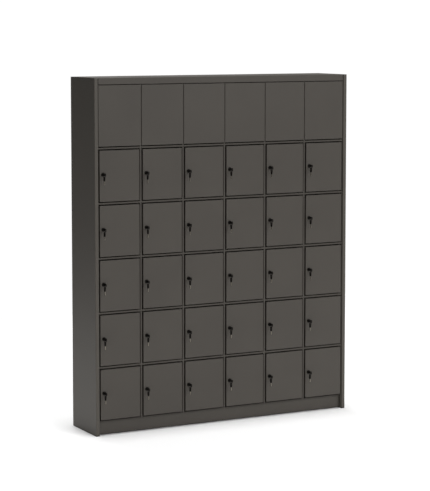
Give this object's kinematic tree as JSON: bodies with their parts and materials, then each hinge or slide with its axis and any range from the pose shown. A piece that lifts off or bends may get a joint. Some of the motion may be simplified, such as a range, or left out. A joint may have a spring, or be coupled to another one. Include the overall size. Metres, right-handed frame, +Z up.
{
  "type": "locker",
  "caption": "Wide bank of sheet-steel lockers: a grid of right-hinged doors with cam locks and hanging keys, under fixed blank panels, on a set-back plinth.",
  "frame": {"origin": "on the floor, midway across the width and midway between the key heads and the back", "axes": "+Z up, +Y from the doors to the back, +X to the right for someone facing the doors"},
  "size_m": [1.5, 0.3326, 1.84],
  "materials": {
    "painted_steel": "matt powder coat, dark warm grey",
    "lock_parts": "black moulded key heads and lock bezels",
    "foot_plastic": "black moulded strip",
    "key_steel": "nickel-plated blades and rings"
  },
  "bodies": {
    "cabinet": {"side_panel_left": "painted_steel", "side_panel_right": "painted_steel", "back_panel": "painted_steel", "top_panel": "painted_steel", "bottom_shelf": "painted_steel", "plinth": "painted_steel", "divider_1": "painted_steel", "divider_2": "painted_steel", "divider_3": "painted_steel", "divider_4": "painted_steel", "divider_5": "painted_steel", "shelf_1": "painted_steel", "shelf_2": "painted_steel", "shelf_3": "painted_steel", "shelf_4": "painted_steel", "shelf_5": "painted_steel", "blank_panel_1": "painted_steel", "blank_panel_2": "painted_steel", "blank_panel_3": "painted_steel", "blank_panel_4": "painted_steel", "blank_panel_5": "painted_steel", "blank_panel_6": "painted_steel", "side_foot_left": "foot_plastic", "side_foot_right": "foot_plastic"},
    "door_r1_c1": {"door_r1_c1": "painted_steel"},
    "door_r1_c2": {"door_r1_c2": "painted_steel"},
    "door_r1_c3": {"door_r1_c3": "painted_steel"},
    "door_r1_c4": {"door_r1_c4": "painted_steel"},
    "door_r1_c5": {"door_r1_c5": "painted_steel"},
    "door_r1_c6": {"door_r1_c6": "painted_steel"},
    "door_r2_c1": {"door_r2_c1": "painted_steel"},
    "door_r2_c2": {"door_r2_c2": "painted_steel"},
    "door_r2_c3": {"door_r2_c3": "painted_steel"},
    "door_r2_c4": {"door_r2_c4": "painted_steel"},
    "door_r2_c5": {"door_r2_c5": "painted_steel"},
    "door_r2_c6": {"door_r2_c6": "painted_steel"},
    "door_r3_c1": {"door_r3_c1": "painted_steel"},
    "door_r3_c2": {"door_r3_c2": "painted_steel"},
    "door_r3_c3": {"door_r3_c3": "painted_steel"},
    "door_r3_c4": {"door_r3_c4": "painted_steel"},
    "door_r3_c5": {"door_r3_c5": "painted_steel"},
    "door_r3_c6": {"door_r3_c6": "painted_steel"},
    "door_r4_c1": {"door_r4_c1": "painted_steel"},
    "door_r4_c2": {"door_r4_c2": "painted_steel"},
    "door_r4_c3": {"door_r4_c3": "painted_steel"},
    "door_r4_c4": {"door_r4_c4": "painted_steel"},
    "door_r4_c5": {"door_r4_c5": "painted_steel"},
    "door_r4_c6": {"door_r4_c6": "painted_steel"},
    "door_r5_c1": {"door_r5_c1": "painted_steel"},
    "door_r5_c2": {"door_r5_c2": "painted_steel"},
    "door_r5_c3": {"door_r5_c3": "painted_steel"},
    "door_r5_c4": {"door_r5_c4": "painted_steel"},
    "door_r5_c5": {"door_r5_c5": "painted_steel"},
    "door_r5_c6": {"door_r5_c6": "painted_steel"},
    "lock_plug_r1_c1": {"lock_plug_r1_c1": "lock_parts"},
    "lock_plug_r1_c2": {"lock_plug_r1_c2": "lock_parts"},
    "lock_plug_r1_c3": {"lock_plug_r1_c3": "lock_parts"},
    "lock_plug_r1_c4": {"lock_plug_r1_c4": "lock_parts"},
    "lock_plug_r1_c5": {"lock_plug_r1_c5": "lock_parts"},
    "lock_plug_r1_c6": {"lock_plug_r1_c6": "lock_parts"}
  },
  "joints": [
    {"name": "door_r1_c1_hinge", "type": "hinge", "parent": "cabinet", "child": "door_r1_c1", "pos_m": [-0.50613, -0.12175, 1.2095], "axis": [0, 0, 1], "range_deg": [0, 105]},
    {"name": "door_r1_c2_hinge", "type": "hinge", "parent": "cabinet", "child": "door_r1_c2", "pos_m": [-0.26212, -0.12175, 1.2095], "axis": [0, 0, 1], "range_deg": [0, 105]},
    {"name": "door_r1_c3_hinge", "type": "hinge", "parent": "cabinet", "child": "door_r1_c3", "pos_m": [-0.01812, -0.12175, 1.2095], "axis": [0, 0, 1], "range_deg": [0, 105]},
    {"name": "door_r1_c4_hinge", "type": "hinge", "parent": "cabinet", "child": "door_r1_c4", "pos_m": [0.22587, -0.12175, 1.2095], "axis": [0, 0, 1], "range_deg": [0, 105]},
    {"name": "door_r1_c5_hinge", "type": "hinge", "parent": "cabinet", "child": "door_r1_c5", "pos_m": [0.46987, -0.12175, 1.2095], "axis": [0, 0, 1], "range_deg": [0, 105]},
    {"name": "door_r1_c6_hinge", "type": "hinge", "parent": "cabinet", "child": "door_r1_c6", "pos_m": [0.71388, -0.12175, 1.2095], "axis": [0, 0, 1], "range_deg": [0, 105]},
    {"name": "door_r2_c1_hinge", "type": "hinge", "parent": "cabinet", "child": "door_r2_c1", "pos_m": [-0.50613, -0.12175, 0.9275], "axis": [0, 0, 1], "range_deg": [0, 105]},
    {"name": "door_r2_c2_hinge", "type": "hinge", "parent": "cabinet", "child": "door_r2_c2", "pos_m": [-0.26212, -0.12175, 0.9275], "axis": [0, 0, 1], "range_deg": [0, 105]},
    {"name": "door_r2_c3_hinge", "type": "hinge", "parent": "cabinet", "child": "door_r2_c3", "pos_m": [-0.01812, -0.12175, 0.9275], "axis": [0, 0, 1], "range_deg": [0, 105]},
    {"name": "door_r2_c4_hinge", "type": "hinge", "parent": "cabinet", "child": "door_r2_c4", "pos_m": [0.22587, -0.12175, 0.9275], "axis": [0, 0, 1], "range_deg": [0, 105]},
    {"name": "door_r2_c5_hinge", "type": "hinge", "parent": "cabinet", "child": "door_r2_c5", "pos_m": [0.46987, -0.12175, 0.9275], "axis": [0, 0, 1], "range_deg": [0, 105]},
    {"name": "door_r2_c6_hinge", "type": "hinge", "parent": "cabinet", "child": "door_r2_c6", "pos_m": [0.71388, -0.12175, 0.9275], "axis": [0, 0, 1], "range_deg": [0, 105]},
    {"name": "door_r3_c1_hinge", "type": "hinge", "parent": "cabinet", "child": "door_r3_c1", "pos_m": [-0.50613, -0.12175, 0.6455], "axis": [0, 0, 1], "range_deg": [0, 105]},
    {"name": "door_r3_c2_hinge", "type": "hinge", "parent": "cabinet", "child": "door_r3_c2", "pos_m": [-0.26212, -0.12175, 0.6455], "axis": [0, 0, 1], "range_deg": [0, 105]},
    {"name": "door_r3_c3_hinge", "type": "hinge", "parent": "cabinet", "child": "door_r3_c3", "pos_m": [-0.01812, -0.12175, 0.6455], "axis": [0, 0, 1], "range_deg": [0, 105]},
    {"name": "door_r3_c4_hinge", "type": "hinge", "parent": "cabinet", "child": "door_r3_c4", "pos_m": [0.22587, -0.12175, 0.6455], "axis": [0, 0, 1], "range_deg": [0, 105]},
    {"name": "door_r3_c5_hinge", "type": "hinge", "parent": "cabinet", "child": "door_r3_c5", "pos_m": [0.46987, -0.12175, 0.6455], "axis": [0, 0, 1], "range_deg": [0, 105]},
    {"name": "door_r3_c6_hinge", "type": "hinge", "parent": "cabinet", "child": "door_r3_c6", "pos_m": [0.71388, -0.12175, 0.6455], "axis": [0, 0, 1], "range_deg": [0, 105]},
    {"name": "door_r4_c1_hinge", "type": "hinge", "parent": "cabinet", "child": "door_r4_c1", "pos_m": [-0.50613, -0.12175, 0.3635], "axis": [0, 0, 1], "range_deg": [0, 105]},
    {"name": "door_r4_c2_hinge", "type": "hinge", "parent": "cabinet", "child": "door_r4_c2", "pos_m": [-0.26212, -0.12175, 0.3635], "axis": [0, 0, 1], "range_deg": [0, 105]},
    {"name": "door_r4_c3_hinge", "type": "hinge", "parent": "cabinet", "child": "door_r4_c3", "pos_m": [-0.01812, -0.12175, 0.3635], "axis": [0, 0, 1], "range_deg": [0, 105]},
    {"name": "door_r4_c4_hinge", "type": "hinge", "parent": "cabinet", "child": "door_r4_c4", "pos_m": [0.22587, -0.12175, 0.3635], "axis": [0, 0, 1], "range_deg": [0, 105]},
    {"name": "door_r4_c5_hinge", "type": "hinge", "parent": "cabinet", "child": "door_r4_c5", "pos_m": [0.46987, -0.12175, 0.3635], "axis": [0, 0, 1], "range_deg": [0, 105]},
    {"name": "door_r4_c6_hinge", "type": "hinge", "parent": "cabinet", "child": "door_r4_c6", "pos_m": [0.71388, -0.12175, 0.3635], "axis": [0, 0, 1], "range_deg": [0, 105]},
    {"name": "door_r5_c1_hinge", "type": "hinge", "parent": "cabinet", "child": "door_r5_c1", "pos_m": [-0.50613, -0.12175, 0.0815], "axis": [0, 0, 1], "range_deg": [0, 105]},
    {"name": "door_r5_c2_hinge", "type": "hinge", "parent": "cabinet", "child": "door_r5_c2", "pos_m": [-0.26212, -0.12175, 0.0815], "axis": [0, 0, 1], "range_deg": [0, 105]},
    {"name": "door_r5_c3_hinge", "type": "hinge", "parent": "cabinet", "child": "door_r5_c3", "pos_m": [-0.01812, -0.12175, 0.0815], "axis": [0, 0, 1], "range_deg": [0, 105]},
    {"name": "door_r5_c4_hinge", "type": "hinge", "parent": "cabinet", "child": "door_r5_c4", "pos_m": [0.22587, -0.12175, 0.0815], "axis": [0, 0, 1], "range_deg": [0, 105]},
    {"name": "door_r5_c5_hinge", "type": "hinge", "parent": "cabinet", "child": "door_r5_c5", "pos_m": [0.46987, -0.12175, 0.0815], "axis": [0, 0, 1], "range_deg": [0, 105]},
    {"name": "door_r5_c6_hinge", "type": "hinge", "parent": "cabinet", "child": "door_r5_c6", "pos_m": [0.71388, -0.12175, 0.0815], "axis": [0, 0, 1], "range_deg": [0, 105]},
    {"name": "lock_r1_c1_turn", "type": "hinge", "parent": "door_r1_c1", "child": "lock_plug_r1_c1", "pos_m": [-0.703, -0.13075, 1.3495], "axis": [0, 1, 0], "range_deg": [0, 90]},
    {"name": "lock_r1_c2_turn", "type": "hinge", "parent": "door_r1_c2", "child": "lock_plug_r1_c2", "pos_m": [-0.459, -0.13075, 1.3495], "axis": [0, 1, 0], "range_deg": [0, 90]},
    {"name": "lock_r1_c3_turn", "type": "hinge", "parent": "door_r1_c3", "child": "lock_plug_r1_c3", "pos_m": [-0.215, -0.13075, 1.3495], "axis": [0, 1, 0], "range_deg": [0, 90]},
    {"name": "lock_r1_c4_turn", "type": "hinge", "parent": "door_r1_c4", "child": "lock_plug_r1_c4", "pos_m": [0.029, -0.13075, 1.3495], "axis": [0, 1, 0], "range_deg": [0, 90]},
    {"name": "lock_r1_c5_turn", "type": "hinge", "parent": "door_r1_c5", "child": "lock_plug_r1_c5", "pos_m": [0.273, -0.13075, 1.3495], "axis": [0, 1, 0], "range_deg": [0, 90]},
    {"name": "lock_r1_c6_turn", "type": "hinge", "parent": "door_r1_c6", "child": "lock_plug_r1_c6", "pos_m": [0.517, -0.13075, 1.3495], "axis": [0, 1, 0], "range_deg": [0, 90]}
  ]
}
